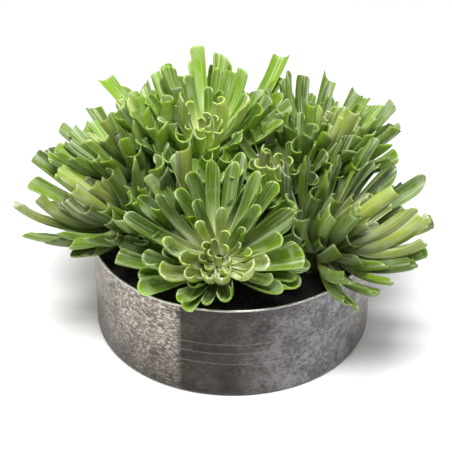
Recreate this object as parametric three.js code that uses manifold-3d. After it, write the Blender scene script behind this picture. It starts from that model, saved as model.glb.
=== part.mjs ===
// A clump of echeveria with trough-shaped leaves, planted in a shallow metal bowl.
// Millimetres, +Z up. The origin is the centre of the bowl's underside.
// +X is to the right and -Y is the front, seen from the side with the largest head.
import * as THREE from 'three';
import { mergeVertices } from 'three/addons/utils/BufferGeometryUtils.js';
import Module from 'manifold-3d';

const wasm = await Module();
wasm.setup();

// ---- driving dimensions ----

const BOWL_DIAMETER = 254;
const BOWL_HEIGHT = 92;
const BOWL_WALL = 2.4;
const BOWL_FLOOR = 2.5;
const BOWL_CORNER = 4; // radius of the turn from the wall into the floor
const SOIL_BELOW_RIM = 13;
const SOIL_CROWN = 3; // how much higher the soil is in the middle
const GAP = 0.3; // between pieces that touch
const LEAF_GAP = 0.75; // between leaves that cross
const ROUND_SIDES = 48;

const STEM_RADIUS = 8;
const STEM_SIDES = 6;
const ROOT_DEPTH = 30; // how far a stem goes down into the soil
const CROWN_RADIUS = 9; // the leaf-bearing top of a stem
const SLICE_HEIGHT = 9; // length of stem that one whorl of leaves grows from

const GOLDEN_TURN = 137.508; // degrees from one leaf to the next round the stem
const KEEP_CLEAR = 15; // degrees between a leaf placed by hand and any other
const OWN_ROOM = 0.9; // a tip stays this share of its length away from any other head
const LOWEST_RISE = 6; // degrees above the level that the lowest spiral leaf still points
const LEAF_WIDTH = 15;
const LEAF_THICKNESS = 3;
const STATION_WIDTHS = [0.3, 0.72, 1]; // of the leaf's width
const STATION_FOLDS = [0.2, 0.38, 0.26]; // height of the edges over the keel, of the width
const LEAF_BOW = 0.13; // how far a leaf bows outwards, of its length
const INNER_LIMIT = 38; // degrees from the stem's axis to the last leaf of the heart
const MIDDLE_LIMIT = 62; // degrees from the axis to the last leaf of the middle whorl

// Each head: the point its leaves spread from, the way its axis leans (degrees from
// upright, and towards which side, anticlockwise from +X), where its stem is planted,
// how many leaves follow the spiral, and the leaves that were bent into their place
// one by one: [bearing, rise, length, width], bearing and rise in degrees.
const HEADS = [
  {
    name: 'front',
    heart: [-12, -78, 111],
    lean: 45,
    towards: -90,
    root: [-10, -50],
    spiral: 42,
    longest: 84,
    leaves: [
      [122, 32, 120, 16], [120, 30, 97, 17], [108, 34, 98, 18], [94, 30, 90, 13],
      [94, 26, 75, 14], [82, 36, 104, 14], [76, 14, 85, 15], [58, 20, 88, 15],
      [44, 16, 92, 13], [-20, 44, 90, 17], [-36, 24, 92, 22], [-68, 28, 80, 18],
      [-86, 22, 72, 17], [-100, 20, 62, 14], [-98, 4, 72, 11], [-126, 22, 85, 15],
      [-136, 24, 92, 14], [140, 16, 92, 18], [-166, 54, 88, 13], [-162, 36, 100, 14],
      [-134, 38, 80, 14], [-124, 30, 66, 14], [-36, 36, 78, 13], [-58, 28, 85, 13],
      [-114, 20, 70, 12], [100, 14, 70, 13], [60, 0, 78, 13],
    ],
  },
  {
    name: 'back',
    heart: [-27, 38, 160],
    lean: 22,
    towards: -90,
    root: [-20, 40],
    spiral: 38,
    longest: 76,
    leaves: [
      [96, 30, 92, 14], [82, 26, 92, 14], [74, 20, 85, 15], [90, 18, 84, 12],
      [154, 22, 108, 14], [150, 20, 96, 13], [134, 14, 88, 14], [124, 22, 92, 12],
      [116, 20, 86, 13], [-122, 62, 70, 14], [66, 6, 80, 13], [60, 10, 85, 13],
      [0, 4, 76, 14], [-16, 10, 70, 14], [14, -4, 78, 14], [-34, 0, 66, 13],
      [40, 30, 110, 17], [36, 24, 98, 14], [38, 10, 92, 14], [36, -10, 84, 11],
      [-36, 50, 76, 16], [-152, 34, 84, 14], [-158, 28, 92, 14], [-106, 28, 66, 18],
      [-78, 24, 60, 14], [-56, 26, 66, 12], [-136, 22, 84, 13], [-48, 62, 62, 13],
      [-134, 40, 70, 13],
    ],
  },
  {
    name: 'left',
    heart: [-105, -20, 119],
    lean: 42,
    towards: 195,
    root: [-78, -16],
    spiral: 30,
    longest: 80,
    leaves: [
      [-150, 22, 98, 15], [152, 6, 90, 15], [146, 18, 96, 16], [138, 22, 92, 13],
      [128, 22, 88, 17], [-146, 28, 84, 14], [-132, 34, 70, 14], [120, 6, 72, 13],
      [-112, 54, 60, 12], [102, 6, 66, 12], [-114, 32, 55, 13], [-124, 46, 70, 13],
      [-60, 44, 50, 12], [-148, 50, 80, 13], [-146, -21, 48, 13], [-138, -24, 54, 12],
      [-117, -26, 44, 12],
    ],
  },
  {
    name: 'left_back',
    heart: [-95, 35, 145],
    lean: 35,
    towards: 160,
    root: [-72, 30],
    spiral: 26,
    longest: 72,
    leaves: [
      [118, 10, 82, 14], [134, 2, 66, 17], [-136, 36, 62, 15], [104, 8, 72, 14],
      [-118, 44, 52, 12], [-70, 50, 52, 12], [-122, 24, 56, 14], [-64, 36, 50, 13],
    ],
  },
  {
    name: 'right',
    heart: [94, -55, 117],
    lean: 45,
    towards: -20,
    root: [66, -42],
    spiral: 32,
    longest: 82,
    leaves: [
      [38, 14, 104, 18], [-38, 40, 90, 13], [-36, 30, 92, 19], [-42, 20, 90, 14],
      [52, 20, 92, 18], [-42, 56, 84, 14], [-62, 62, 52, 14], [76, 22, 86, 16],
      [66, 24, 88, 14], [90, 26, 84, 19], [-126, 70, 84, 19], [-116, 26, 55, 14],
      [-86, 28, 45, 16], [-78, 12, 66, 17], [-66, 14, 78, 17], [-56, 12, 92, 14],
      [-66, 4, 84, 10], [-74, -4, 80, 15], [-84, -10, 86, 10], [-92, -10, 78, 12],
      [-124, 48, 60, 15],
    ],
  },
  {
    name: 'right_back',
    heart: [86, 48, 150],
    lean: 20,
    towards: 0,
    root: [70, 40],
    spiral: 30,
    longest: 72,
    leaves: [
      [176, 26, 70, 14], [160, 10, 66, 14], [-168, 8, 64, 13], [150, 34, 66, 14],
      [106, 18, 66, 13], [84, 8, 70, 16], [72, 4, 70, 14], [-60, 52, 66, 14],
      [56, 6, 80, 14], [46, 2, 84, 13], [38, -6, 84, 15], [-46, 24, 80, 13],
      [-60, 34, 62, 13], [110, 4, 62, 15], [-140, 38, 66, 15], [-126, 20, 60, 17],
      [-102, 28, 58, 15], [-122, 8, 66, 15], [-112, 12, 62, 14],
    ],
  },
  {
    name: 'centre',
    heart: [-52, -14, 122],
    lean: 12,
    towards: 150,
    root: [-48, -4],
    spiral: 12,
    longest: 66,
    leaves: [
      [-60, 70, 78, 18], [20, 40, 66, 14], [60, 24, 66, 13], [0, 16, 62, 13],
    ],
  },
  {
    name: 'middle',
    heart: [42, 5, 141],
    lean: 25,
    towards: -110,
    root: [30, 2],
    spiral: 14,
    longest: 62,
    leaves: [
      [110, 30, 58, 13], [150, 20, 62, 13], [180, 14, 60, 13], [130, 6, 60, 12],
      [-124, 56, 52, 13], [-128, 40, 46, 13], [-124, 14, 50, 11], [-106, 42, 40, 14],
    ],
  },
];

// ---- solids ----

/** A three.js geometry as a solid, for joining and cutting. */
function solidOf(geometry) {
  const bare = geometry.clone();
  bare.deleteAttribute('normal');
  bare.deleteAttribute('uv');
  const merged = mergeVertices(bare, 1e-4);
  return new wasm.Manifold(new wasm.Mesh({
    numProp: 3,
    vertProperties: new Float32Array(merged.attributes.position.array),
    triVerts: new Uint32Array(merged.index.array),
  }));
}

/** A solid back as a three.js geometry. */
function geometryOf(solid) {
  const { vertProperties, triVerts, numProp } = solid.getMesh();
  const positions = new Float32Array((vertProperties.length / numProp) * 3);
  for (let i = 0; i < positions.length / 3; i += 1) {
    positions.set(vertProperties.subarray(i * numProp, i * numProp + 3), i * 3);
  }
  const geometry = new THREE.BufferGeometry();
  geometry.setAttribute('position', new THREE.BufferAttribute(positions, 3));
  geometry.setIndex(new THREE.BufferAttribute(new Uint32Array(triVerts), 1));
  geometry.computeVertexNormals();
  return geometry;
}

/** The largest connected piece of a solid. */
function largestPiece(solid) {
  const pieces = solid.decompose();
  pieces.sort((a, b) => b.volume() - a.volume());
  return pieces[0];
}

/** A solid of revolution about Z from a closed half profile. */
function turned(profile) {
  const points = profile.map(([radius, height]) => new THREE.Vector2(radius, height));
  const geometry = new THREE.LatheGeometry(points, ROUND_SIDES);
  return geometry.rotateX(Math.PI / 2);
}

// ---- layout of the heads ----

/** A number from -1 to 1 that is always the same for the same pair of whole numbers. */
function chance(index, salt) {
  const mixed = Math.sin(index * 12.9898 + salt * 78.233) * 43758.5453;
  return (mixed - Math.floor(mixed)) * 2 - 1;
}

/** The unit vector with a bearing from +X and a rise above the level, in degrees. */
function direction(bearing, rise) {
  const b = THREE.MathUtils.degToRad(bearing);
  const r = THREE.MathUtils.degToRad(rise);
  return new THREE.Vector3(Math.cos(r) * Math.cos(b), Math.cos(r) * Math.sin(b), Math.sin(r));
}

/** All leaves of a head: first the ones placed by hand, then the spiral between them. */
function leavesOf(head, headNumber) {
  const axis = direction(head.towards, 90 - head.lean);
  const down = direction(head.towards, -head.lean);
  const side = new THREE.Vector3().crossVectors(axis, down);
  const leaves = head.leaves.map(([bearing, rise, length, width]) => ({
    way: direction(bearing, rise),
    length,
    width,
  }));
  const byHand = leaves.length;
  for (let i = 0; i < head.spiral; i += 1) {
    const salt = headNumber * 7 + 1;
    const age = (i + 0.5) / head.spiral; // 0 at the heart, 1 at the lowest leaf
    const open = 9 + 77 * age ** 0.7 + 6 * chance(i, salt);
    const turn = THREE.MathUtils.degToRad(GOLDEN_TURN * i + 12 * chance(i, salt + 1));
    const tilt = THREE.MathUtils.degToRad(open);
    const way = axis.clone().multiplyScalar(Math.cos(tilt));
    way.addScaledVector(down, Math.sin(tilt) * Math.cos(turn));
    way.addScaledVector(side, Math.sin(tilt) * Math.sin(turn));
    const lowest = Math.sin(THREE.MathUtils.degToRad(LOWEST_RISE));
    const crowded = way.z < lowest && i % 2 === 1;
    way.setZ(Math.max(way.z, lowest)).normalize();
    const grown = 0.3 + 0.7 * Math.min(1, age * 2.2);
    const clear = leaves.slice(0, byHand).every((leaf) => (
      THREE.MathUtils.radToDeg(leaf.way.angleTo(way)) > KEEP_CLEAR * grown
    ));
    const length = head.longest * grown * (1 + 0.16 * chance(i, salt + 2));
    const tip = new THREE.Vector3(...head.heart).addScaledVector(way, length);
    const free = HEADS.every((other) => (
      other === head || tip.distanceTo(new THREE.Vector3(...other.heart)) > OWN_ROOM * length
    ));
    if (clear && free && !crowded) {
      leaves.push({ way, length, width: LEAF_WIDTH * (0.4 + 0.6 * Math.min(1, age * 1.5)) });
    }
  }
  for (const leaf of leaves) {
    leaf.open = THREE.MathUtils.radToDeg(leaf.way.angleTo(axis));
    leaf.whorl = leaf.open < INNER_LIMIT ? 0 : leaf.open < MIDDLE_LIMIT ? 1 : 2;
    leaf.outward = leaf.way.clone().multiplyScalar(axis.dot(leaf.way)).sub(axis).normalize();
    const spread = leaf.way.clone().addScaledVector(axis, -axis.dot(leaf.way)).normalize();
    const heart = new THREE.Vector3(...head.heart);
    leaf.tip = heart.clone().addScaledVector(leaf.way, leaf.length);
    leaf.base = heart.addScaledVector(axis, -SLICE_HEIGHT * (leaf.whorl + 0.5));
    leaf.base.addScaledVector(spread, CROWN_RADIUS * 0.4);
  }
  return leaves;
}

// ---- leaves and stems ----

/**
 * One leaf as a three-sided blade: an edge, the keel and the other edge, carried along
 * a bowed line from base to tip.
 */
function leafGeometry(leaf, grow) {
  const middle = leaf.base.clone().add(leaf.tip).multiplyScalar(0.5);
  middle.addScaledVector(leaf.outward, 2 * LEAF_BOW * leaf.length);
  const line = new THREE.QuadraticBezierCurve3(leaf.base, middle, leaf.tip);
  const across = new THREE.Vector3().crossVectors(leaf.way, leaf.outward).normalize();
  const spans = leaf.whorl === 0 ? 1 : 2;
  const corners = [];
  const faces = [0, 2, 1];
  for (let k = 0; k <= spans; k += 1) {
    const centre = line.getPoint(k / spans);
    const tangent = line.getTangent(k / spans);
    const up = new THREE.Vector3().crossVectors(tangent, across).normalize();
    const share = (k * 2) / spans;
    const half = (leaf.width * STATION_WIDTHS[share]) / 2 + grow * 1.5;
    const brim = leaf.width * STATION_FOLDS[share] + grow;
    const keel = LEAF_THICKNESS / 2 + grow * 1.5;
    for (const [x, y] of [[-half, brim], [0, -keel], [half, brim]]) {
      const corner = centre.clone().addScaledVector(across, x).addScaledVector(up, y);
      corners.push(...corner.addScaledVector(tangent, grow * (share - 1)));
    }
    for (let i = 0; i < 3 && k < spans; i += 1) {
      const a = 3 * k + i;
      const b = 3 * k + ((i + 1) % 3);
      faces.push(a, b, b + 3, a, b + 3, a + 3);
    }
  }
  const end = 3 * spans;
  faces.push(end, end + 1, end + 2);
  const geometry = new THREE.BufferGeometry();
  geometry.setAttribute('position', new THREE.Float32BufferAttribute(corners, 3));
  geometry.setIndex(faces);
  return geometry;
}

/** A rounded bar between two points. */
function bar(from, to, radius) {
  const run = to.clone().sub(from);
  const geometry = new THREE.CylinderGeometry(radius, radius, run.length(), STEM_SIDES);
  geometry.translate(0, run.length() / 2, 0);
  const up = new THREE.Vector3(0, 1, 0);
  geometry.applyQuaternion(new THREE.Quaternion().setFromUnitVectors(up, run.normalize()));
  return geometry.translate(from.x, from.y, from.z);
}

/** The stem: one bar up from the roots to a knee, and one along the axis to the crown. */
function stemSolid(head, grow) {
  const axis = direction(head.towards, 90 - head.lean);
  const top = new THREE.Vector3(...head.heart).addScaledVector(axis, -3 * SLICE_HEIGHT);
  const root = new THREE.Vector3(...head.root, SOIL_TOP - ROOT_DEPTH);
  const knee = new THREE.Vector3(...head.root, Math.min(SOIL_TOP, top.z - 4));
  const rise = bar(root, knee, STEM_RADIUS + grow);
  const reach = bar(knee, top, STEM_RADIUS + grow);
  const joint = new THREE.IcosahedronGeometry(STEM_RADIUS + 1 + grow, 1);
  joint.translate(knee.x, knee.y, knee.z);
  return solidOf(rise).add(solidOf(reach)).add(solidOf(joint));
}

/** One whorl: a slice of the crown with the leaves that grow from it. */
function whorlSolid(head, leaves, whorl, grow) {
  const axis = direction(head.towards, 90 - head.lean);
  const heart = new THREE.Vector3(...head.heart);
  const room = GAP / 2 - grow;
  const low = heart.clone().addScaledVector(axis, -SLICE_HEIGHT * (whorl + 1) + room);
  const high = heart.clone().addScaledVector(axis, -SLICE_HEIGHT * whorl - room);
  let solid = solidOf(bar(low, high, CROWN_RADIUS + grow));
  for (const leaf of leaves.filter((one) => one.whorl === whorl)) {
    solid = solid.add(solidOf(leafGeometry(leaf, grow)));
  }
  return solid;
}

// ---- the bowl and the soil ----

const SOIL_TOP = BOWL_HEIGHT - SOIL_BELOW_RIM;

function bowlGeometry() {
  const outer = BOWL_DIAMETER / 2;
  const inner = outer - BOWL_WALL;
  const lip = BOWL_WALL / 2;
  return turned([
    [0, 0],
    [outer - BOWL_CORNER, 0],
    [outer - BOWL_CORNER * 0.29, BOWL_CORNER * 0.29],
    [outer, BOWL_CORNER],
    [outer, BOWL_HEIGHT - lip * 0.6],
    [outer - lip * 0.6, BOWL_HEIGHT],
    [inner + lip * 0.6, BOWL_HEIGHT],
    [inner, BOWL_HEIGHT - lip * 0.6],
    [inner, BOWL_FLOOR + BOWL_CORNER],
    [inner - BOWL_CORNER, BOWL_FLOOR],
    [0, BOWL_FLOOR],
  ]);
}

function soilSolid(stems) {
  const inner = BOWL_DIAMETER / 2 - BOWL_WALL - GAP;
  const foot = BOWL_FLOOR + GAP;
  let soil = solidOf(turned([
    [0, foot],
    [inner - BOWL_CORNER, foot],
    [inner, foot + BOWL_CORNER],
    [inner, SOIL_TOP - SOIL_CROWN],
    [inner * 0.7, SOIL_TOP - SOIL_CROWN * 0.3],
    [0, SOIL_TOP],
  ]));
  for (const stem of stems) {
    soil = soil.subtract(stem);
  }
  return largestPiece(soil);
}

// ---- assembly ----

const object = new THREE.Group();

function addPiece(name, geometry, colour, roughness, metalness) {
  const material = new THREE.MeshStandardMaterial({ color: colour, roughness, metalness });
  const mesh = new THREE.Mesh(geometry, material);
  mesh.name = name;
  object.add(mesh);
}

const WHORL_NAMES = ['heart_leaves', 'middle_leaves', 'outer_leaves'];
const WHORL_COLOURS = [0xb4c878, 0x93b052, 0x7c9e42];

addPiece('bowl', bowlGeometry(), 0x5b5753, 0.42, 0.9);

const grownStems = HEADS.map((head) => stemSolid(head, GAP));
addPiece('soil', geometryOf(soilSolid(grownStems)), 0x17130f, 0.95, 0);

// Pieces are cut in this order, each by a slightly larger copy of all that came before.
const obstacles = [];
const bowlSkin = solidOf(bowlGeometry());

/** Cuts a solid clear of the pieces already placed, and keeps what stays joined. */
function placed(solid, grown) {
  let free = solid.subtract(bowlSkin);
  for (const obstacle of obstacles) {
    free = free.subtract(obstacle);
  }
  obstacles.push(grown);
  return geometryOf(largestPiece(free));
}

HEADS.forEach((head, number) => {
  const stem = placed(stemSolid(head, 0), grownStems[number]);
  addPiece(`${head.name}_stem`, stem, 0x8b8a52, 0.7, 0);
});

const soilBlock = solidOf(turned([
  [0, BOWL_FLOOR],
  [BOWL_DIAMETER / 2, BOWL_FLOOR],
  [BOWL_DIAMETER / 2, SOIL_TOP + GAP],
  [0, SOIL_TOP + GAP],
]));
obstacles.push(soilBlock);

const headLeaves = HEADS.map((head, number) => leavesOf(head, number));
WHORL_NAMES.forEach((whorlName, whorl) => {
  HEADS.forEach((head, number) => {
    const leaves = headLeaves[number];
    const solid = whorlSolid(head, leaves, whorl, 0);
    const grown = whorlSolid(head, leaves, whorl, LEAF_GAP);
    const geometry = placed(solid, grown);
    addPiece(`${head.name}_${whorlName}`, geometry, WHORL_COLOURS[whorl], 0.5, 0);
  });
});

export default object;
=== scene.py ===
"""A clump of echeveria with trough-shaped leaves, growing in a shallow hammered metal bowl.

Metres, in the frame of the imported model: +Z up, the bowl stands on z = 0 about the Z axis,
and the largest head of leaves faces -Y.
"""
import math
import bpy
import numpy as np
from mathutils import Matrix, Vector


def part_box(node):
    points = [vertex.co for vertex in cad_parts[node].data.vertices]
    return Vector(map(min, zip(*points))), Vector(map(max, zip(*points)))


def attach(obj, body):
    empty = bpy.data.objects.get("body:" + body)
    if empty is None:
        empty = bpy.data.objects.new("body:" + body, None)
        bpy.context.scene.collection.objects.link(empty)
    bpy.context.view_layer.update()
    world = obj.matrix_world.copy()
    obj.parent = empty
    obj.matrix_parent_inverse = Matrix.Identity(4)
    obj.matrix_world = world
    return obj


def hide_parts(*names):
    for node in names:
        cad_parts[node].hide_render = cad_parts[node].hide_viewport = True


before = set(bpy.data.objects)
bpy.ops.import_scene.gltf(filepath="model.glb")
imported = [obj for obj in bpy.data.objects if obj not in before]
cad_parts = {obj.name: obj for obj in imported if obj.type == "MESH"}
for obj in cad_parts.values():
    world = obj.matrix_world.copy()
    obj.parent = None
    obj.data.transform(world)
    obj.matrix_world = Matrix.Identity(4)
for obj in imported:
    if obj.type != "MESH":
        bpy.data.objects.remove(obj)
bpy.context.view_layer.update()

# ---- camera: looks down at the front of the bowl, from a little over a metre away ----

RIM_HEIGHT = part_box("bowl")[1][2]
CAMERA_DISTANCE = 1.15
CAMERA_DOWN = math.radians(32.7)
CAMERA_LENS = 100.7
CAMERA_LEFT = 0.0061  # the bowl stands a little right of the middle of the view
CAMERA_RAISED = 0.0017

camera_data = bpy.data.cameras.new("camera")
camera_data.lens = CAMERA_LENS
camera_data.sensor_width = 36
camera = bpy.data.objects.new("camera", camera_data)
camera.location = (
    -CAMERA_LEFT,
    -CAMERA_DISTANCE * math.cos(CAMERA_DOWN) + CAMERA_RAISED * math.sin(CAMERA_DOWN),
    RIM_HEIGHT + CAMERA_DISTANCE * math.sin(CAMERA_DOWN) + CAMERA_RAISED * math.cos(CAMERA_DOWN),
)
camera.rotation_euler = (math.pi / 2 - CAMERA_DOWN, 0, 0)
bpy.context.collection.objects.link(camera)
bpy.context.scene.camera = camera

# ---- studio: a pale floor, one big soft light on the left, a weaker one on the right ----
# and a wide one overhead. The room around is dim, so the metal shows the lights.

def linear(hex_code):
    """A colour written as sRGB hex, as linear red, green, blue and alpha."""
    parts = [int(hex_code[i:i + 2], 16) / 255 for i in (1, 3, 5)]
    return tuple(p / 12.92 if p <= 0.04045 else ((p + 0.055) / 1.055) ** 2.4 for p in parts) + (1,)


def add_node(tree, kind, inputs=None, stops=None, **settings):
    """Add one node. Inputs are values or sockets to link from; stops are a ramp's colours."""
    node = tree.nodes.new(kind)
    for name, value in settings.items():
        setattr(node, name, value)
    for name, value in (inputs or {}).items():
        if isinstance(value, bpy.types.NodeSocket):
            tree.links.new(value, node.inputs[name])
        else:
            node.inputs[name].default_value = value
    if stops:
        ramp = node.color_ramp.elements
        while len(ramp) < len(stops):
            ramp.new(0.5)
        for element, (place, colour) in zip(ramp, stops):
            element.position = place
            element.color = colour if len(colour) == 4 else (*colour, 1)
    return node


def new_material(name):
    """An empty material with its output node: returns the material, its tree and the output."""
    material = bpy.data.materials.new(name)
    material.use_nodes = True
    tree = material.node_tree
    tree.nodes.clear()
    return material, tree, tree.nodes.new("ShaderNodeOutputMaterial")


floor_mesh = bpy.data.meshes.new("floor")
floor_mesh.from_pydata([(-4, -4, 0), (4, -4, 0), (4, 4, 0), (-4, 4, 0)], [], [(0, 1, 2, 3)])
floor = bpy.data.objects.new("floor", floor_mesh)
bpy.context.collection.objects.link(floor)
floor_paper, paper_tree, paper_out = new_material("white_paper_sweep")
paper_grain = add_node(paper_tree, "ShaderNodeTexNoise", {"Scale": 30.0, "Detail": 3.0})
paper_colour = add_node(paper_tree, "ShaderNodeValToRGB", {"Fac": paper_grain.outputs["Fac"]},
                        stops=[(0.3, linear("#f8f8f8")), (0.7, linear("#fbfbfb"))])
paper_shader = add_node(paper_tree, "ShaderNodeBsdfPrincipled", {
    "Base Color": paper_colour.outputs["Color"], "Roughness": 0.9, "Specular IOR Level": 0.1})
paper_tree.links.new(paper_shader.outputs["BSDF"], paper_out.inputs["Surface"])
floor_mesh.materials.append(floor_paper)

# name, where it hangs, where it points, its two sides (m), its power (W), its colour
LIGHTS = [
    ("softbox_left", (-1.4, -0.6, 0.6), (0, 0, 0.1), (1.0, 1.0), 5, "#fff8f0"),
    ("softbox_right", (1.5, -0.5, 0.7), (0, 0, 0.1), (0.9, 1.2), 4, "#f4f7ff"),
    ("overhead", (-0.1, -0.6, 1.8), (0, 0, 0.1), (1.0, 0.8), 52, "#ffffff"),
]
for name, place, target, (wide, tall), power, colour in LIGHTS:
    light_data = bpy.data.lights.new(name, "AREA")
    light_data.shape = "RECTANGLE"
    light_data.size = wide
    light_data.size_y = tall
    light_data.energy = power
    light_data.color = linear(colour)[:3]
    light = bpy.data.objects.new(name, light_data)
    light.location = place
    aim = np.array(target) - np.array(place)
    aim /= np.linalg.norm(aim)
    light.rotation_euler = (math.acos(-aim[2]), 0, math.atan2(-aim[0], aim[1]))
    bpy.context.collection.objects.link(light)

world = bpy.data.worlds.new("studio")
world.use_nodes = True
world.node_tree.nodes["Background"].inputs["Color"].default_value = (1, 1, 1, 1)
world.node_tree.nodes["Background"].inputs["Strength"].default_value = 0.28
bpy.context.scene.world = world
bpy.context.scene.view_settings.view_transform = "Standard"

# ---- bowl ----
# A low straight-sided bowl spun from sheet metal, its wall beaten and etched all over,
# darkened with patina. The rim is bright. On the left and at the far right a painted highlight
# of pale speckled metal stands in for the reflection of the studio lights, and the wall is
# painted a paler grey towards the right as a painted reflection of the right-hand light.

WALL = 0.0022
BOWL_CORNER = 0.004
BOWL_TURNS = 256
HAMMER_MARK = 0.0024  # across one mark
PATINA_SIDE_CENTRE = -72  # degrees: this side of the wall keeps its dark patina, with no painted highlight
PAINTED_HIGHLIGHT_FROM = 38  # degrees to either side of it, from where the painted highlight covers the wall
RING_HEIGHTS = (0.036, 0.047, 0.0565)  # faint raised lines left by the spinning tool


def rounded(corner, start, end, steps):
    """Points of a quarter turn: an ellipse from start to end about the corner's far side."""
    t = np.linspace(0, np.pi / 2, steps)[:, None]
    corner, start, end = (np.array(p, float) for p in (corner, start, end))
    centre = start + end - corner
    return centre + (start - centre) * np.cos(t) + (end - centre) * np.sin(t)


def make_object(name, points, faces, material):
    """A smooth-shaded mesh object at the origin from an array of points and a list of faces."""
    mesh = bpy.data.meshes.new(name)
    mesh.from_pydata(points.reshape(-1, 3).tolist(), [], faces)
    mesh.polygons.foreach_set("use_smooth", np.full(len(mesh.polygons), True))
    mesh.materials.append(material)
    mesh.update()
    piece = bpy.data.objects.new(name, mesh)
    bpy.context.collection.objects.link(piece)
    return piece


def grid_faces(rows, columns, wrap):
    """Quads of a grid of points, row after row; wrap joins the last column to the first."""
    row, column = np.meshgrid(np.arange(rows - 1), np.arange(columns if wrap else columns - 1),
                              indexing="ij")
    after = (column + 1) % columns
    quads = [row * columns + column, row * columns + after,
             (row + 1) * columns + after, (row + 1) * columns + column]
    return np.stack(quads, -1).reshape(-1, 4)


def turned(profile, turns):
    """A surface of revolution: each (radius, height) of a closed outline goes round Z."""
    angle = np.linspace(0, 2 * np.pi, turns, endpoint=False)
    radius, height = profile[:, 0, None], profile[:, 1, None]
    points = np.stack([radius * np.cos(angle), radius * np.sin(angle),
                       height + 0 * angle], -1)
    return points


bowl_low, bowl_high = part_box("bowl")
bowl_radius = (bowl_high[0] - bowl_low[0]) / 2
inner_radius = bowl_radius - WALL
bowl_floor = 0.0025
lip = WALL / 2
outside = np.stack([np.full(24, bowl_radius), np.linspace(0.005, RIM_HEIGHT - 0.002, 24)], -1)
bowl_profile = np.concatenate([
    np.array([[0.0008, 0.0], [0.06, 0.0], [0.115, 0.0]]),
    rounded((bowl_radius, 0), (bowl_radius - BOWL_CORNER, 0), (bowl_radius, BOWL_CORNER), 7),
    outside,
    rounded((bowl_radius, RIM_HEIGHT), (bowl_radius, RIM_HEIGHT - lip),
            (bowl_radius - lip, RIM_HEIGHT), 5),
    rounded((inner_radius, RIM_HEIGHT), (inner_radius + lip, RIM_HEIGHT),
            (inner_radius, RIM_HEIGHT - lip), 5)[1:],
    np.stack([np.full(10, inner_radius), np.linspace(RIM_HEIGHT - 0.004, 0.008, 10)], -1),
    rounded((inner_radius, bowl_floor), (inner_radius, bowl_floor + BOWL_CORNER),
            (inner_radius - BOWL_CORNER, bowl_floor), 5),
    np.array([[0.06, bowl_floor], [0.0008, bowl_floor]]),
])
bowl_points = turned(bowl_profile, BOWL_TURNS)
rows = len(bowl_profile)
bowl_faces = grid_faces(rows, BOWL_TURNS, wrap=True).tolist()
bowl_faces.append(list(range(BOWL_TURNS))[::-1])
bowl_faces.append([(rows - 1) * BOWL_TURNS + i for i in range(BOWL_TURNS)])

metal, metal_tree, metal_out = new_material("etched_spun_aluminium_dark_patina")
place = add_node(metal_tree, "ShaderNodeTexCoord")
stretched = add_node(metal_tree, "ShaderNodeMapping", {
    "Vector": place.outputs["Object"], "Scale": (1, 1, 1.7)})
marks = add_node(metal_tree, "ShaderNodeTexVoronoi", {
    "Vector": stretched.outputs["Vector"], "Scale": 1 / HAMMER_MARK, "Randomness": 1.0},
    feature="SMOOTH_F1")
grit = add_node(metal_tree, "ShaderNodeTexNoise", {
    "Vector": stretched.outputs["Vector"], "Scale": 0.7 / HAMMER_MARK, "Detail": 4.0,
    "Roughness": 0.65})
cloud = add_node(metal_tree, "ShaderNodeTexNoise", {
    "Vector": place.outputs["Object"], "Scale": 45.0, "Detail": 5.0, "Roughness": 0.7})
split = add_node(metal_tree, "ShaderNodeSeparateXYZ", {"Vector": place.outputs["Object"]})
bearing = add_node(metal_tree, "ShaderNodeMath", {
    0: split.outputs["Y"], 1: split.outputs["X"]}, operation="ARCTAN2")
from_front = add_node(metal_tree, "ShaderNodeMath", {
    0: bearing.outputs["Value"], 1: math.radians(PATINA_SIDE_CENTRE)}, operation="SUBTRACT")
from_front = add_node(metal_tree, "ShaderNodeMath", {
    0: from_front.outputs["Value"]}, operation="ABSOLUTE")
# painted highlight: everywhere but the front side of the wall, pale speckled metal is painted in
# for the reflection of the studio lights
painted_highlight_side = add_node(metal_tree, "ShaderNodeMapRange", {
    "Value": from_front.outputs["Value"], "From Min": math.radians(PAINTED_HIGHLIGHT_FROM),
    "From Max": math.radians(PAINTED_HIGHLIGHT_FROM + 2.5)})
tarnish = add_node(metal_tree, "ShaderNodeMath", {
    0: grit.outputs["Fac"], 1: cloud.outputs["Fac"]}, operation="ADD")
tarnish = add_node(metal_tree, "ShaderNodeMath", {0: tarnish.outputs["Value"], 1: 0.5},
                   operation="MULTIPLY")
patina = add_node(metal_tree, "ShaderNodeValToRGB", {"Fac": tarnish.outputs["Value"]},
                  stops=[(0.4, linear("#322e2c")), (0.5, linear("#403b38")),
                         (0.6, linear("#504a46"))])
# painted reflection: paler cool greys for the right half of the wall, standing in for the
# reflection of the right-hand light
painted_reflection_grey = add_node(metal_tree, "ShaderNodeValToRGB", {"Fac": tarnish.outputs["Value"]},
                  stops=[(0.4, linear("#5c5a5c")), (0.5, linear("#878689")),
                         (0.6, linear("#b4b3b6"))])
# how far the painted reflection covers the patina, growing towards the right
to_right = add_node(metal_tree, "ShaderNodeMapRange", {
    "Value": split.outputs["X"], "From Min": 0.0, "From Max": 0.1, "To Max": 0.75})
patina_and_painted_reflection = add_node(metal_tree, "ShaderNodeMix", {
    "Factor": to_right.outputs["Result"], 6: patina.outputs["Color"],
    7: painted_reflection_grey.outputs["Color"]}, data_type="RGBA")
# the colours of the painted highlight: pale speckled metal
painted_highlight_speckle = add_node(metal_tree, "ShaderNodeValToRGB", {"Fac": grit.outputs["Fac"]},
                stops=[(0.38, linear("#5d554f")), (0.5, linear("#8c847b")),
                       (0.62, linear("#cbc4bb"))])
# the painted highlight fades towards the foot, so the wall is darker towards the bottom
from_foot = add_node(metal_tree, "ShaderNodeMapRange", {
    "Value": split.outputs["Z"], "From Min": 0.0, "From Max": 0.07, "To Min": 0.15})
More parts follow.
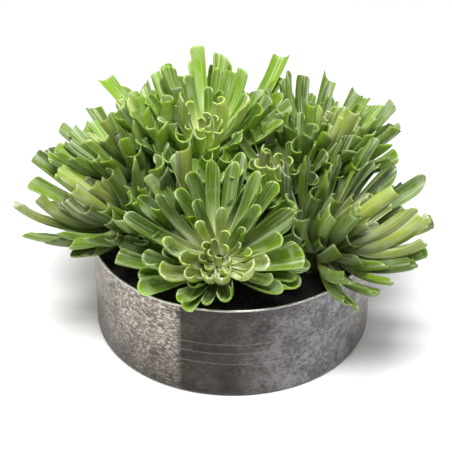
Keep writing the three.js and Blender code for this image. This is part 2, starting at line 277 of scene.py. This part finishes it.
# the painted highlight is broken into patches by the cloud noise
highlight_patches = add_node(metal_tree, "ShaderNodeMapRange", {
    "Value": cloud.outputs["Fac"], "From Min": 0.3, "From Max": 0.55, "To Min": 0.35})
painted_highlight_share = add_node(metal_tree, "ShaderNodeMath", {
    0: painted_highlight_side.outputs["Result"], 1: from_foot.outputs["Result"]}, operation="MULTIPLY")
painted_highlight_share = add_node(metal_tree, "ShaderNodeMath", {
    0: painted_highlight_share.outputs["Value"], 1: highlight_patches.outputs["Result"]}, operation="MULTIPLY")
metal_with_painted_highlight = add_node(metal_tree, "ShaderNodeMix", {
    "Factor": painted_highlight_share.outputs["Value"], 6: patina_and_painted_reflection.outputs[2], 7: painted_highlight_speckle.outputs["Color"]},
    data_type="RGBA")
ring_height = None
for height in RING_HEIGHTS:
    away = add_node(metal_tree, "ShaderNodeMath", {0: split.outputs["Z"], 1: height},
                    operation="SUBTRACT")
    bump_here = add_node(metal_tree, "ShaderNodeMapRange", {
        "Value": add_node(metal_tree, "ShaderNodeMath", {0: away.outputs["Value"]},
                          operation="ABSOLUTE").outputs["Value"],
        "From Min": 0.0, "From Max": 0.0011, "To Min": 1.0, "To Max": 0.0})
    if ring_height is None:
        ring_height = bump_here.outputs["Result"]
    else:
        ring_height = add_node(metal_tree, "ShaderNodeMath", {
            0: ring_height, 1: bump_here.outputs["Result"]}, operation="ADD").outputs["Value"]
ring_wear = add_node(metal_tree, "ShaderNodeMath", {0: ring_height, 1: 0.1},
                     operation="MULTIPLY")
ringed = add_node(metal_tree, "ShaderNodeMix", {
    "Factor": ring_wear.outputs["Value"], 6: metal_with_painted_highlight.outputs[2], 7: linear("#d8d6d2")},
    data_type="RGBA")
rim_mask = add_node(metal_tree, "ShaderNodeMapRange", {
    "Value": split.outputs["Z"], "From Min": RIM_HEIGHT - 0.0016,
    "From Max": RIM_HEIGHT - 0.0007})
metal_colour = add_node(metal_tree, "ShaderNodeMix", {
    "Factor": rim_mask.outputs["Result"], 6: ringed.outputs[2], 7: linear("#d8d6d2")},
    data_type="RGBA")
rough = add_node(metal_tree, "ShaderNodeMapRange", {
    "Value": grit.outputs["Fac"], "From Min": 0.35, "From Max": 0.65,
    "To Min": 0.34, "To Max": 0.52})
relief = add_node(metal_tree, "ShaderNodeMath", {
    0: grit.outputs["Fac"], 1: marks.outputs["Distance"]}, operation="ADD")
relief_all = add_node(metal_tree, "ShaderNodeMath", {
    0: relief.outputs["Value"], 1: ring_height}, operation="ADD")
beaten = add_node(metal_tree, "ShaderNodeBump", {
    "Height": relief_all.outputs["Value"], "Strength": 0.55, "Distance": 0.0006})
metal_shader = add_node(metal_tree, "ShaderNodeBsdfPrincipled", {
    "Base Color": metal_colour.outputs[2], "Metallic": 1.0,
    "Roughness": rough.outputs["Result"], "Normal": beaten.outputs["Normal"]})
metal_tree.links.new(metal_shader.outputs["BSDF"], metal_out.inputs["Surface"])

bowl = make_object("hammered_bowl", bowl_points, bowl_faces, metal)
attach(bowl, "root")
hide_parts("bowl")

# ---- soil ----
# Dark moist potting mix, filled to a finger's width below the rim, loose and crumbly on top.

soil_low, soil_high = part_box("soil")
soil_radius = (soil_high[0] - soil_low[0]) / 2
SOIL_RINGS = 60
SOIL_TURNS = 180
SOIL_CROWN = 0.003
CRUMB = 0.007  # across one clod


def ripple(x, y, size, seed):
    """A smooth bumpy height from -1 to 1: six waves of one size in turned directions."""
    turn = np.arange(6) * 2.399963 + seed
    wave = 2 * np.pi / size * (1 + 0.25 * np.sin(7 * turn))
    phase = 5.7 * turn
    rows = [np.sin(w * (x * np.cos(t) + y * np.sin(t)) + p) for w, t, p in zip(wave, turn, phase)]
    return sum(rows) / 3


ring = np.linspace(0.002, 1, SOIL_RINGS)[:, None] * soil_radius
around = np.linspace(0, 2 * np.pi, SOIL_TURNS, endpoint=False)[None, :]
sx, sy = ring * np.cos(around), ring * np.sin(around)
share = ring / soil_radius + 0 * around
lumps = 0.0012 * ripple(sx, sy, 4 * CRUMB, 0.3) + 0.0007 * ripple(sx, sy, 1.4 * CRUMB, 1.1)
sz = soil_high[2] - SOIL_CROWN * share ** 2 + lumps * (1 - share ** 8)
top_skin = np.stack([sx, sy, sz], -1)
side_skin = np.stack([sx[-1:], sy[-1:], np.full_like(sx[-1:], soil_low[2])], -1)
foot_skin = np.stack([sx[:1], sy[:1], np.full_like(sx[:1], soil_low[2])], -1)
soil_points = np.concatenate([top_skin, side_skin, foot_skin])
soil_faces = grid_faces(SOIL_RINGS + 2, SOIL_TURNS, wrap=True)[:, ::-1].tolist()
soil_faces.append(list(range(SOIL_TURNS)))
soil_faces.append([(SOIL_RINGS + 1) * SOIL_TURNS + i for i in range(SOIL_TURNS)][::-1])

mix, mix_tree, mix_out = new_material("moist_dark_potting_mix")
place = add_node(mix_tree, "ShaderNodeTexCoord")
clods = add_node(mix_tree, "ShaderNodeTexNoise", {
    "Vector": place.outputs["Object"], "Scale": 1 / CRUMB, "Detail": 6.0, "Roughness": 0.7})
bits = add_node(mix_tree, "ShaderNodeTexVoronoi", {
    "Vector": place.outputs["Object"], "Scale": 2.4 / CRUMB})
mix_colour = add_node(mix_tree, "ShaderNodeValToRGB", {"Fac": clods.outputs["Fac"]},
                      stops=[(0.3, linear("#070504")), (0.55, linear("#15110d")),
                             (0.8, linear("#352a20"))])
mix_relief = add_node(mix_tree, "ShaderNodeMath", {
    0: clods.outputs["Fac"], 1: bits.outputs["Distance"]}, operation="ADD")
mix_bump = add_node(mix_tree, "ShaderNodeBump", {
    "Height": mix_relief.outputs["Value"], "Strength": 0.9, "Distance": 0.002})
mix_shader = add_node(mix_tree, "ShaderNodeBsdfPrincipled", {
    "Base Color": mix_colour.outputs["Color"], "Roughness": 0.85,
    "Normal": mix_bump.outputs["Normal"]})
mix_tree.links.new(mix_shader.outputs["BSDF"], mix_out.inputs["Surface"])

soil = make_object("potting_mix", soil_points, soil_faces, mix)
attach(soil, "root")
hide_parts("soil")

# ---- heads: how the leaves are laid out ----
# Each head spreads from one point at the top of a leaning stem. The leaves follow a spiral,
# one golden turn from each to the next, except where they were bent round their neighbours.

# painted light and shade: how much paler (or darker) than most the leaves of a head are painted,
# for how strongly the light falls on that head
HEAD_PAINTED_LIGHT = {"front": 0.08, "back": 0.4, "left": -0.45, "right": -0.5}
GOLDEN_TURN = 137.508  # degrees
KEEP_CLEAR = 9  # degrees between a listed leaf and any other
OWN_ROOM = 0.6  # a tip stays this share of its length away from any other head
LOWEST_RISE = 6  # degrees above the level that the lowest spiral leaf still points
LEAF_WIDTH = 0.0155
SLICE_HEIGHT = 0.009  # length of stem that one whorl of leaves grows from
CROWN_RADIUS = 0.009
LEAF_BOW = 0.13  # how far a leaf bows outwards, of its length
WHORL_LIMITS = (38, 62)  # degrees from the axis to the last leaf of the heart and the middle

# heart (mm), lean from upright and the side it leans to (degrees), where its stem is planted,
# number and length (mm) of the leaves in the spiral, and the leaves listed one by one: bearing,
# rise (degrees), length, width (mm)
HEADS = {
    "front": ((-12, -78, 111), 45, -90, (-10, -50), 68, 84, [
        (122, 32, 120, 16), (120, 30, 97, 17), (108, 34, 98, 18), (94, 30, 90, 13),
        (94, 26, 75, 14), (82, 36, 104, 14), (76, 14, 85, 15), (58, 20, 88, 15),
        (44, 16, 92, 13), (-20, 44, 90, 17), (-36, 24, 92, 22), (-68, 28, 80, 18),
        (-86, 22, 72, 17), (-100, 20, 62, 14), (-98, 4, 72, 11), (-126, 22, 85, 15),
        (-136, 24, 92, 14), (140, 16, 92, 18), (-166, 54, 88, 13), (-162, 36, 100, 14),
        (-134, 38, 80, 14), (-124, 30, 66, 14), (-36, 36, 78, 13), (-58, 28, 85, 13),
        (-114, 20, 70, 12), (100, 14, 70, 13), (60, 0, 78, 13)]),
    "back": ((-27, 38, 160), 22, -90, (-20, 40), 84, 76, [
        (96, 30, 92, 14), (82, 26, 92, 14), (74, 20, 85, 15), (90, 18, 84, 12),
        (154, 22, 108, 14), (150, 20, 96, 13), (134, 14, 88, 14), (124, 22, 92, 12),
        (116, 20, 86, 13), (-122, 62, 70, 14), (66, 6, 80, 13), (60, 10, 85, 13),
        (0, 4, 76, 14), (-16, 10, 70, 14), (14, -4, 78, 14), (-34, 0, 66, 13),
        (40, 30, 110, 17), (36, 24, 98, 14), (38, 10, 92, 14), (36, -10, 84, 11),
        (-36, 50, 76, 16), (-152, 34, 84, 14), (-158, 28, 92, 14), (-106, 28, 66, 18),
        (-78, 24, 60, 14), (-56, 26, 66, 12), (-136, 22, 84, 13), (-48, 62, 62, 13),
        (-134, 40, 70, 13)]),
    "left": ((-105, -20, 119), 42, 195, (-78, -16), 66, 80, [
        (-150, 22, 98, 15), (152, 6, 90, 15), (146, 18, 96, 16), (138, 22, 92, 13),
        (128, 22, 88, 17), (-146, 28, 84, 14), (-132, 34, 70, 14), (120, 6, 72, 13),
        (-112, 54, 60, 12), (102, 6, 66, 12), (-114, 32, 55, 13), (-124, 46, 70, 13),
        (-60, 44, 50, 12), (-148, 50, 80, 13), (-146, -21, 48, 13), (-138, -24, 54, 12),
        (-117, -26, 44, 12)]),
    "left_back": ((-95, 35, 145), 35, 160, (-72, 30), 60, 72, [
        (118, 10, 82, 14), (134, 2, 66, 17), (-136, 36, 62, 15), (104, 8, 72, 14),
        (-118, 44, 52, 12), (-70, 50, 52, 12), (-122, 24, 56, 14), (-64, 36, 50, 13)]),
    "right": ((94, -55, 117), 45, -20, (66, -42), 70, 82, [
        (38, 14, 104, 18), (-38, 40, 90, 13), (-36, 30, 92, 19), (-42, 20, 90, 14),
        (52, 20, 92, 18), (-42, 56, 84, 14), (-62, 62, 52, 14), (76, 22, 86, 16),
        (66, 24, 88, 14), (90, 26, 84, 19), (-126, 70, 84, 19), (-116, 26, 55, 14),
        (-86, 28, 45, 16), (-78, 12, 66, 17), (-66, 14, 78, 17), (-56, 12, 92, 14),
        (-66, 4, 84, 10), (-74, -4, 80, 15), (-84, -10, 86, 10), (-92, -10, 78, 12),
        (-124, 48, 60, 15)]),
    "right_back": ((86, 48, 150), 20, 0, (70, 40), 66, 72, [
        (176, 26, 70, 14), (160, 10, 66, 14), (-168, 8, 64, 13), (150, 34, 66, 14),
        (106, 18, 66, 13), (84, 8, 70, 16), (72, 4, 70, 14), (-60, 52, 66, 14),
        (56, 6, 80, 14), (46, 2, 84, 13), (38, -6, 84, 15), (-46, 24, 80, 13),
        (-60, 34, 62, 13), (110, 4, 62, 15), (-140, 38, 66, 15), (-126, 20, 60, 17),
        (-102, 28, 58, 15), (-122, 8, 66, 15), (-112, 12, 62, 14)]),
    "centre": ((-52, -14, 122), 12, 150, (-48, -4), 44, 66, [
        (-60, 70, 78, 18), (20, 40, 66, 14), (60, 24, 66, 13), (0, 16, 62, 13)]),
    "middle": ((42, 5, 141), 25, -110, (30, 2), 44, 62, [
        (110, 30, 58, 13), (150, 20, 62, 13), (180, 14, 60, 13), (130, 6, 60, 12),
        (-124, 56, 52, 13), (-128, 40, 46, 13), (-124, 14, 50, 11), (-106, 42, 40, 14)]),
}


def chance(index, salt):
    """A number from -1 to 1 that is always the same for the same pair of whole numbers."""
    mixed = math.sin(index * 12.9898 + salt * 78.233) * 43758.5453
    return (mixed - math.floor(mixed)) * 2 - 1


def direction(bearing, rise):
    """The unit vector with a bearing from +X and a rise above the level, in degrees."""
    b, r = math.radians(bearing), math.radians(rise)
    return np.array([math.cos(r) * math.cos(b), math.cos(r) * math.sin(b), math.sin(r)])


def unit(vectors):
    """Vectors scaled to length one."""
    return vectors / np.linalg.norm(vectors, axis=-1, keepdims=True)


def leaves_of(number, name):
    """All leaves of a head: way they point, length, width, base, tip, outward side, whorl."""
    heart, lean, towards, _, spiral, longest, by_hand = HEADS[name]
    heart = np.array(heart) / 1000
    axis = direction(towards, 90 - lean)
    down = direction(towards, -lean)
    side = np.cross(axis, down)
    others = [np.array(HEADS[other][0]) / 1000 for other in HEADS if other != name]
    leaves = [(direction(b, r), long / 1000, wide / 1000) for b, r, long, wide in by_hand]
    placed_ways = np.array([way for way, _, _ in leaves])
    for i in range(spiral):
        salt = number * 7 + 1
        age = (i + 0.5) / spiral
        tilt = math.radians(9 + 77 * age ** 0.7 + 6 * chance(i, salt))
        turn = math.radians(GOLDEN_TURN * i + 12 * chance(i, salt + 1))
        way = math.cos(tilt) * axis
        way = way + math.sin(tilt) * (math.cos(turn) * down + math.sin(turn) * side)
        lowest = math.sin(math.radians(LOWEST_RISE))
        crowded = way[2] < lowest and i % 2 == 1
        way = unit(np.maximum(way, (-1, -1, lowest)))
        grown = 0.3 + 0.7 * min(1, age * 2.2)
        apart = np.degrees(np.arccos(np.clip(placed_ways @ way, -1, 1)))
        length = longest / 1000 * grown * (1 + 0.16 * chance(i, salt + 2))
        tip = heart + way * length
        free = all(np.linalg.norm(tip - other) > OWN_ROOM * length for other in others)
        if apart.min() > KEEP_CLEAR * grown and free and not crowded:
            leaves.append((way, length, LEAF_WIDTH * (0.4 + 0.6 * min(1, age * 1.5))))
    ways = np.array([leaf[0] for leaf in leaves])
    lengths = np.array([leaf[1] for leaf in leaves])
    widths = np.array([leaf[2] for leaf in leaves])
    lean_in = (ways @ axis)[:, None]
    open_by = np.degrees(np.arccos(np.clip(lean_in[:, 0], -1, 1)))
    whorl = (open_by >= WHORL_LIMITS[0]).astype(int) + (open_by >= WHORL_LIMITS[1])
    spread = unit(ways - axis * lean_in)
    base = heart - axis * (SLICE_HEIGHT * (whorl + 0.5))[:, None] + spread * 0.4 * CROWN_RADIUS
    return {
        "way": ways, "length": lengths, "width": widths, "base": base,
        "tip": heart + ways * lengths[:, None], "outward": unit(ways * lean_in - axis),
        "whorl": whorl, "open": open_by, "number": np.arange(len(lengths)) + 100 * number,
    }


# ---- leaves ----
# Long fleshy leaves, each a strip rolled lengthwise into a trough with a keel below, narrow
# where it joins the stem and wider at the tip. Most tips look cut straight and flare open,
# some are rolled nearly into a tube, and some end round like a spoon.

SECTION_POINTS = 5  # across the strip, on each of its two faces
ALONG = np.array([0, 0.14, 0.3, 0.48, 0.66, 0.84, 0.965, 1])  # stations from base to tip
STATIONS = len(ALONG)
THICK = 0.0030  # of the flesh along the keel


def noise_of(numbers, salt):
    """One number from -1 to 1 for each leaf."""
    mixed = np.sin(numbers * 12.9898 + salt * 37.719) * 24634.6345
    return (mixed - np.floor(mixed)) * 2 - 1


def leaf_surfaces(leaves):
    """Closed leaves on a grid of (leaf, station, point round the section).

    The middle line is a parabola from base to tip, bowed outwards. Across it the strip is an
    arc of a circle whose half angle opens towards the tip, with a little V added for the keel.
    The edges ripple with a sine along the leaf, and the end is cut a little askew.
    The lower face is the upper one moved outwards by the thickness, which thins to the edges.
    """
    n = len(leaves["length"])
    number = leaves["number"]
    kind = noise_of(number, 1)
    tube = (kind > 0.45)[:, None]
    spoon = (kind < -0.3)[:, None]
    v = np.broadcast_to(ALONG, (n, STATIONS))
    across = np.linspace(-1, 1, SECTION_POINTS)

    arc = 0.72 + 0.4 * np.sin(np.pi / 2 * np.minimum(1, v * 1.6)) + 0.16 * v ** 6
    arc = arc * np.where(tube, 1.3, 1.0)
    arc = arc * np.where(spoon, 1 - 0.22 * np.clip((v - 0.86) / 0.14, 0, 1) ** 2, 1.0)
    half_angle = 1.45 + 0.2 * np.sin(np.pi * v) - 0.35 * v ** 3
    half_angle = half_angle + 0.22 * noise_of(number, 2)[:, None]
    half_angle = np.where(tube, 1.4 + 0.65 * v, half_angle)
    thick = THICK * (1.25 - 0.45 * v) * (0.55 + 0.45 * leaves["width"][:, None] / 0.015)

    reach = across ** 2
    end = np.where(spoon, -0.08, np.where(tube, 0.0, 0.01 + 0.04 * noise_of(number, 3)[:, None]))
    slant = 0.045 * noise_of(number, 8)[:, None, None] * across
    lengthen = 1 + (end[:, :, None] * reach + slant) * (v[:, :, None] ** 6)
    t = v[:, :, None] * lengthen

    base, tip = leaves["base"][:, None, None], leaves["tip"][:, None, None]
    outward, way = leaves["outward"], leaves["way"]
    length = leaves["length"][:, None]
    sideways = unit(np.cross(way, outward))
    bend = LEAF_BOW * (1 + 0.25 * noise_of(number, 4)[:, None])
    wander = 0.035 * noise_of(number, 5)[:, None]
    control = (leaves["base"] + leaves["tip"]) / 2
    control = control + 2 * length * (outward * bend + sideways * wander)
    control = control[:, None, None]
    t = t[..., None]
    line = (1 - t) ** 2 * base + 2 * t * (1 - t) * control + t ** 2 * tip
    tangent = unit(2 * (1 - t) * (control - base) + 2 * t * (tip - control))
    level = sideways[:, None, None]
    right = unit(level - tangent * (tangent * level).sum(-1, keepdims=True))
    up = np.cross(tangent, right)
    twist = 0.30 * noise_of(number, 6)[:, None, None, None] * t
    right, up = (right * np.cos(twist) + up * np.sin(twist),
                 up * np.cos(twist) - right * np.sin(twist))

    half_arc = (leaves["width"][:, None] * arc / 2)[:, :, None]
    angle = half_angle[:, :, None] * across
    radius = half_arc / half_angle[:, :, None]
    x = radius * np.sin(angle)
    y = radius * (1 - np.cos(angle)) + 0.10 * half_arc * np.abs(across)
    ripple = np.sin(9 * v[:, :, None] + 3 * noise_of(number, 9)[:, None, None] + 2 * across)
    y = y + 0.16 * half_arc * reach * v[:, :, None] * ripple
    flesh = thick[:, :, None] * (1 - 0.62 * reach)
    low_x, low_y = x + np.sin(angle) * flesh, y - np.cos(angle) * flesh
    upper = line + right * x[..., None] + up * y[..., None]
    lower = line + right * low_x[..., None] + up * low_y[..., None]
    points = np.concatenate([upper, lower[:, :, ::-1]], 2)

    ring = 2 * SECTION_POINTS
    tube_faces = grid_faces(STATIONS, ring, wrap=True)
    first = np.arange(SECTION_POINTS - 1)
    cap = np.stack([first, first + 1, ring - 2 - first, ring - 1 - first], -1)
    faces = np.concatenate([tube_faces, cap[:, ::-1], cap + (STATIONS - 1) * ring])
    step = (np.arange(n) * STATIONS * ring)[:, None, None]
    marks = np.empty((n, STATIONS, ring, 4))
    marks[..., 0] = v[:, :, None]
    marks[..., 1] = np.concatenate([across, across[::-1]]) * 0.5 + 0.5
    marks[..., 2] = np.repeat([0.0, 1.0], SECTION_POINTS)
    marks[..., 3] = (noise_of(number, 7) * 0.5 + 0.5)[:, None, None]
    return points, (faces[None] + step).reshape(-1, 4), marks


def leaf_material(name, base_hex, body_hex, tip_hex, bloom_and_highlight_hex, bloom_share):
    """A waxy leaf skin: colour runs from base to tip, with fine stripes, pale waxy patches and a
    painted highlight along the edges; each head's painted light or shade scales its brightness.
    """
    material, tree, out = new_material(name)
    place = add_node(tree, "ShaderNodeTexCoord")
    marks = add_node(tree, "ShaderNodeAttribute", attribute_name="leaf_marks")
    parts = add_node(tree, "ShaderNodeSeparateColor", {"Color": marks.outputs["Color"]})
    along, across, outer = (parts.outputs[k] for k in ("Red", "Green", "Blue"))
    # the alpha of the marks is each leaf's random tone plus its head's painted light or shade
    tone_and_painted_light = marks.outputs["Alpha"]
    lengthwise = add_node(tree, "ShaderNodeCombineXYZ", {
        "X": across, "Y": along, "Z": tone_and_painted_light})
    stripe_space = add_node(tree, "ShaderNodeMapping", {
        "Vector": lengthwise.outputs["Vector"], "Scale": (9, 1.3, 40)})
    stripes = add_node(tree, "ShaderNodeTexNoise", {
        "Vector": stripe_space.outputs["Vector"], "Scale": 1.0, "Detail": 3.0,
        "Roughness": 0.6})
    cloud = add_node(tree, "ShaderNodeTexNoise", {
        "Vector": place.outputs["Object"], "Scale": 60.0, "Detail": 3.0})
    shifted = add_node(tree, "ShaderNodeMapRange", {
        "Value": stripes.outputs["Fac"], "From Min": 0.3, "From Max": 0.7,
        "To Min": -0.16, "To Max": 0.16})
    run = add_node(tree, "ShaderNodeMath", {0: along, 1: shifted.outputs["Result"]},
                   operation="ADD")
    skin = add_node(tree, "ShaderNodeValToRGB", {"Fac": run.outputs["Value"]},
                    stops=[(0.12, linear(base_hex)), (0.58, linear(body_hex)),
                           (0.8, linear(body_hex)), (0.97, linear(tip_hex))])
    # the skin's brightness is scaled by that value, so each head's painted light or shade lands in
    # its colour
    brightness_with_painted_light = add_node(tree, "ShaderNodeMapRange", {
        "Value": tone_and_painted_light, "To Min": 0.6, "To Max": 1.22}, clamp=False)
    skin_with_painted_light = add_node(tree, "ShaderNodeHueSaturation", {
        "Color": skin.outputs["Color"], "Value": brightness_with_painted_light.outputs["Result"], "Fac": 1.0})
    patch = add_node(tree, "ShaderNodeMapRange", {
        "Value": cloud.outputs["Fac"], "From Min": 0.5, "From Max": 0.72,
        "To Min": 0.0, "To Max": bloom_share})
    streak = add_node(tree, "ShaderNodeMapRange", {
        "Value": stripes.outputs["Fac"], "From Min": 0.48, "From Max": 0.66,
        "To Min": 0.0, "To Max": 1.6 * bloom_share})
    # painted highlight: a pale line along both edges of each leaf, where the edges catch the light
    painted_edge_highlight = add_node(tree, "ShaderNodeMath", {0: across, 1: 0.5}, operation="SUBTRACT")
    painted_edge_highlight = add_node(tree, "ShaderNodeMath", {0: painted_edge_highlight.outputs["Value"]}, operation="ABSOLUTE")
    painted_edge_highlight = add_node(tree, "ShaderNodeMapRange", {
        "Value": painted_edge_highlight.outputs["Value"], "From Min": 0.44, "From Max": 0.5,
        "To Min": 0.0, "To Max": 0.1})
    bloom_and_edge_highlight = add_node(tree, "ShaderNodeMath", {
        0: patch.outputs["Result"], 1: streak.outputs["Result"]}, operation="MAXIMUM")
    bloom_and_edge_highlight = add_node(tree, "ShaderNodeMath", {
        0: bloom_and_edge_highlight.outputs["Value"], 1: painted_edge_highlight.outputs["Result"]}, operation="MAXIMUM")
    inner = add_node(tree, "ShaderNodeMapRange", {
        "Value": outer, "To Min": 1.0, "To Max": 0.45})
    bloom_and_edge_highlight = add_node(tree, "ShaderNodeMath", {
        0: bloom_and_edge_highlight.outputs["Value"], 1: inner.outputs["Result"]}, operation="MULTIPLY")
    colour = add_node(tree, "ShaderNodeMix", {
        "Factor": bloom_and_edge_highlight.outputs["Value"], 6: skin_with_painted_light.outputs["Color"], 7: linear(bloom_and_highlight_hex)},
        data_type="RGBA")
    rough = add_node(tree, "ShaderNodeMapRange", {
        "Value": cloud.outputs["Fac"], "From Min": 0.3, "From Max": 0.7,
        "To Min": 0.36, "To Max": 0.58})
    ripples = add_node(tree, "ShaderNodeBump", {
        "Height": stripes.outputs["Fac"], "Strength": 0.35, "Distance": 0.0008})
    shader = add_node(tree, "ShaderNodeBsdfPrincipled", {
        "Base Color": colour.outputs[2], "Roughness": rough.outputs["Result"],
        "IOR": 1.42, "Specular IOR Level": 0.4, "Normal": ripples.outputs["Normal"],
        "Subsurface Weight": 0.12, "Subsurface Radius": (0.6, 1.0, 0.2),
        "Subsurface Scale": 0.003})
    tree.links.new(shader.outputs["BSDF"], out.inputs["Surface"])
    return material


grown_leaf = leaf_material("waxy_leaf_apple_green", "#c0ca84", "#759522", "#71911a",
                           "#e9eedd", 0.3)
young_leaf = leaf_material("waxy_young_leaf_yellow_green", "#e2e7b8", "#a9bb4e", "#90a734",
                           "#eef2e4", 0.5)
WHORLS = (("heart_leaves", "young_leaf", young_leaf), ("middle_leaves", "leaf", grown_leaf),
          ("outer_leaves", "leaf", grown_leaf))

for head_number, head_name in enumerate(HEADS):
    head = leaves_of(head_number, head_name)
    for whorl, (whorl_name, slot, material) in enumerate(WHORLS):
        chosen = {key: values[head["whorl"] == whorl] for key, values in head.items()}
        node_name = f"{head_name}_{whorl_name}"
        if len(chosen["length"]) == 0:
            continue
        points, faces, marks = leaf_surfaces(chosen)
        # painted light and shade: each head's leaves are made paler or darker for how the light
        # falls on it
        marks[..., 3] += HEAD_PAINTED_LIGHT.get(head_name, 0)
        piece = make_object(f"{node_name}_fleshy", points, faces.tolist(), material)
        attribute = piece.data.attributes.new("leaf_marks", "FLOAT_COLOR", "POINT")
        attribute.data.foreach_set("color", marks.reshape(-1).astype(np.float32))
        smooth = piece.modifiers.new("rounding", "SUBSURF")
        smooth.levels = smooth.render_levels = 1
        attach(piece, "root")
        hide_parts(node_name)

# ---- stems ----
# Short thick stems, green-brown and ringed with the scars of fallen leaves, from the soil up to
# the crown that the leaves grow from.

STEM_RADIUS = 0.008
STEM_STEPS = 48
STEM_SIDES = 20
SCAR_SPACING = 0.004


def stem_surface(root, knee, top):
    """A tube round a parabola from root to top, pulled to the knee and ringed by scars."""
    t = np.linspace(0, 1, STEM_STEPS)[:, None]
    line = (1 - t) ** 2 * root + 2 * t * (1 - t) * knee + t ** 2 * top
    tangent = unit(2 * (1 - t) * (knee - root) + 2 * t * (top - knee))
    right = unit(np.cross(tangent, np.array([0.31, 0.95, 0.0])))
    up = np.cross(tangent, right)
    angle = np.linspace(0, 2 * np.pi, STEM_SIDES, endpoint=False)
    run = np.concatenate([[0], np.cumsum(np.linalg.norm(np.diff(line, axis=0), axis=1))])
    scars = 0.0006 * np.sin(run[:, None] / SCAR_SPACING * 2 * np.pi + 2 * angle)
    radius = (STEM_RADIUS + scars)[..., None]
    ring = right[:, None] * np.cos(angle)[:, None] + up[:, None] * np.sin(angle)[:, None]
    return line[:, None] + ring * radius


bark, bark_tree, bark_out = new_material("green_brown_stem_skin")
place = add_node(bark_tree, "ShaderNodeTexCoord")
fibre = add_node(bark_tree, "ShaderNodeTexNoise", {
    "Vector": place.outputs["Object"], "Scale": 220.0, "Detail": 5.0})
bark_colour = add_node(bark_tree, "ShaderNodeValToRGB", {"Fac": fibre.outputs["Fac"]},
                       stops=[(0.32, linear("#3f4520")), (0.55, linear("#6b7338")),
                              (0.75, linear("#8f8a58"))])
bark_bump = add_node(bark_tree, "ShaderNodeBump", {
    "Height": fibre.outputs["Fac"], "Strength": 0.6, "Distance": 0.001})
bark_shader = add_node(bark_tree, "ShaderNodeBsdfPrincipled", {
    "Base Color": bark_colour.outputs["Color"], "Roughness": 0.7,
    "Normal": bark_bump.outputs["Normal"]})
bark_tree.links.new(bark_shader.outputs["BSDF"], bark_out.inputs["Surface"])

for head_name, (heart, lean, towards, root, _, _, _) in HEADS.items():
    heart = np.array(heart) / 1000
    top = heart - direction(towards, 90 - lean) * 0.6 * SLICE_HEIGHT
    ground = soil_high[2]
    foot = np.array([root[0] / 1000, root[1] / 1000, ground - 0.02])
    knee = np.array([root[0] / 1000, root[1] / 1000, min(ground + 0.01, top[2])])
    points = stem_surface(foot, knee, top)
    faces = grid_faces(STEM_STEPS, STEM_SIDES, wrap=True).tolist()
    faces.append(list(range(STEM_SIDES))[::-1])
    faces.append([(STEM_STEPS - 1) * STEM_SIDES + i for i in range(STEM_SIDES)])
    stem = make_object(f"{head_name}_stem_skin", points, faces, bark)
    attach(stem, "root")
    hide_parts(f"{head_name}_stem")
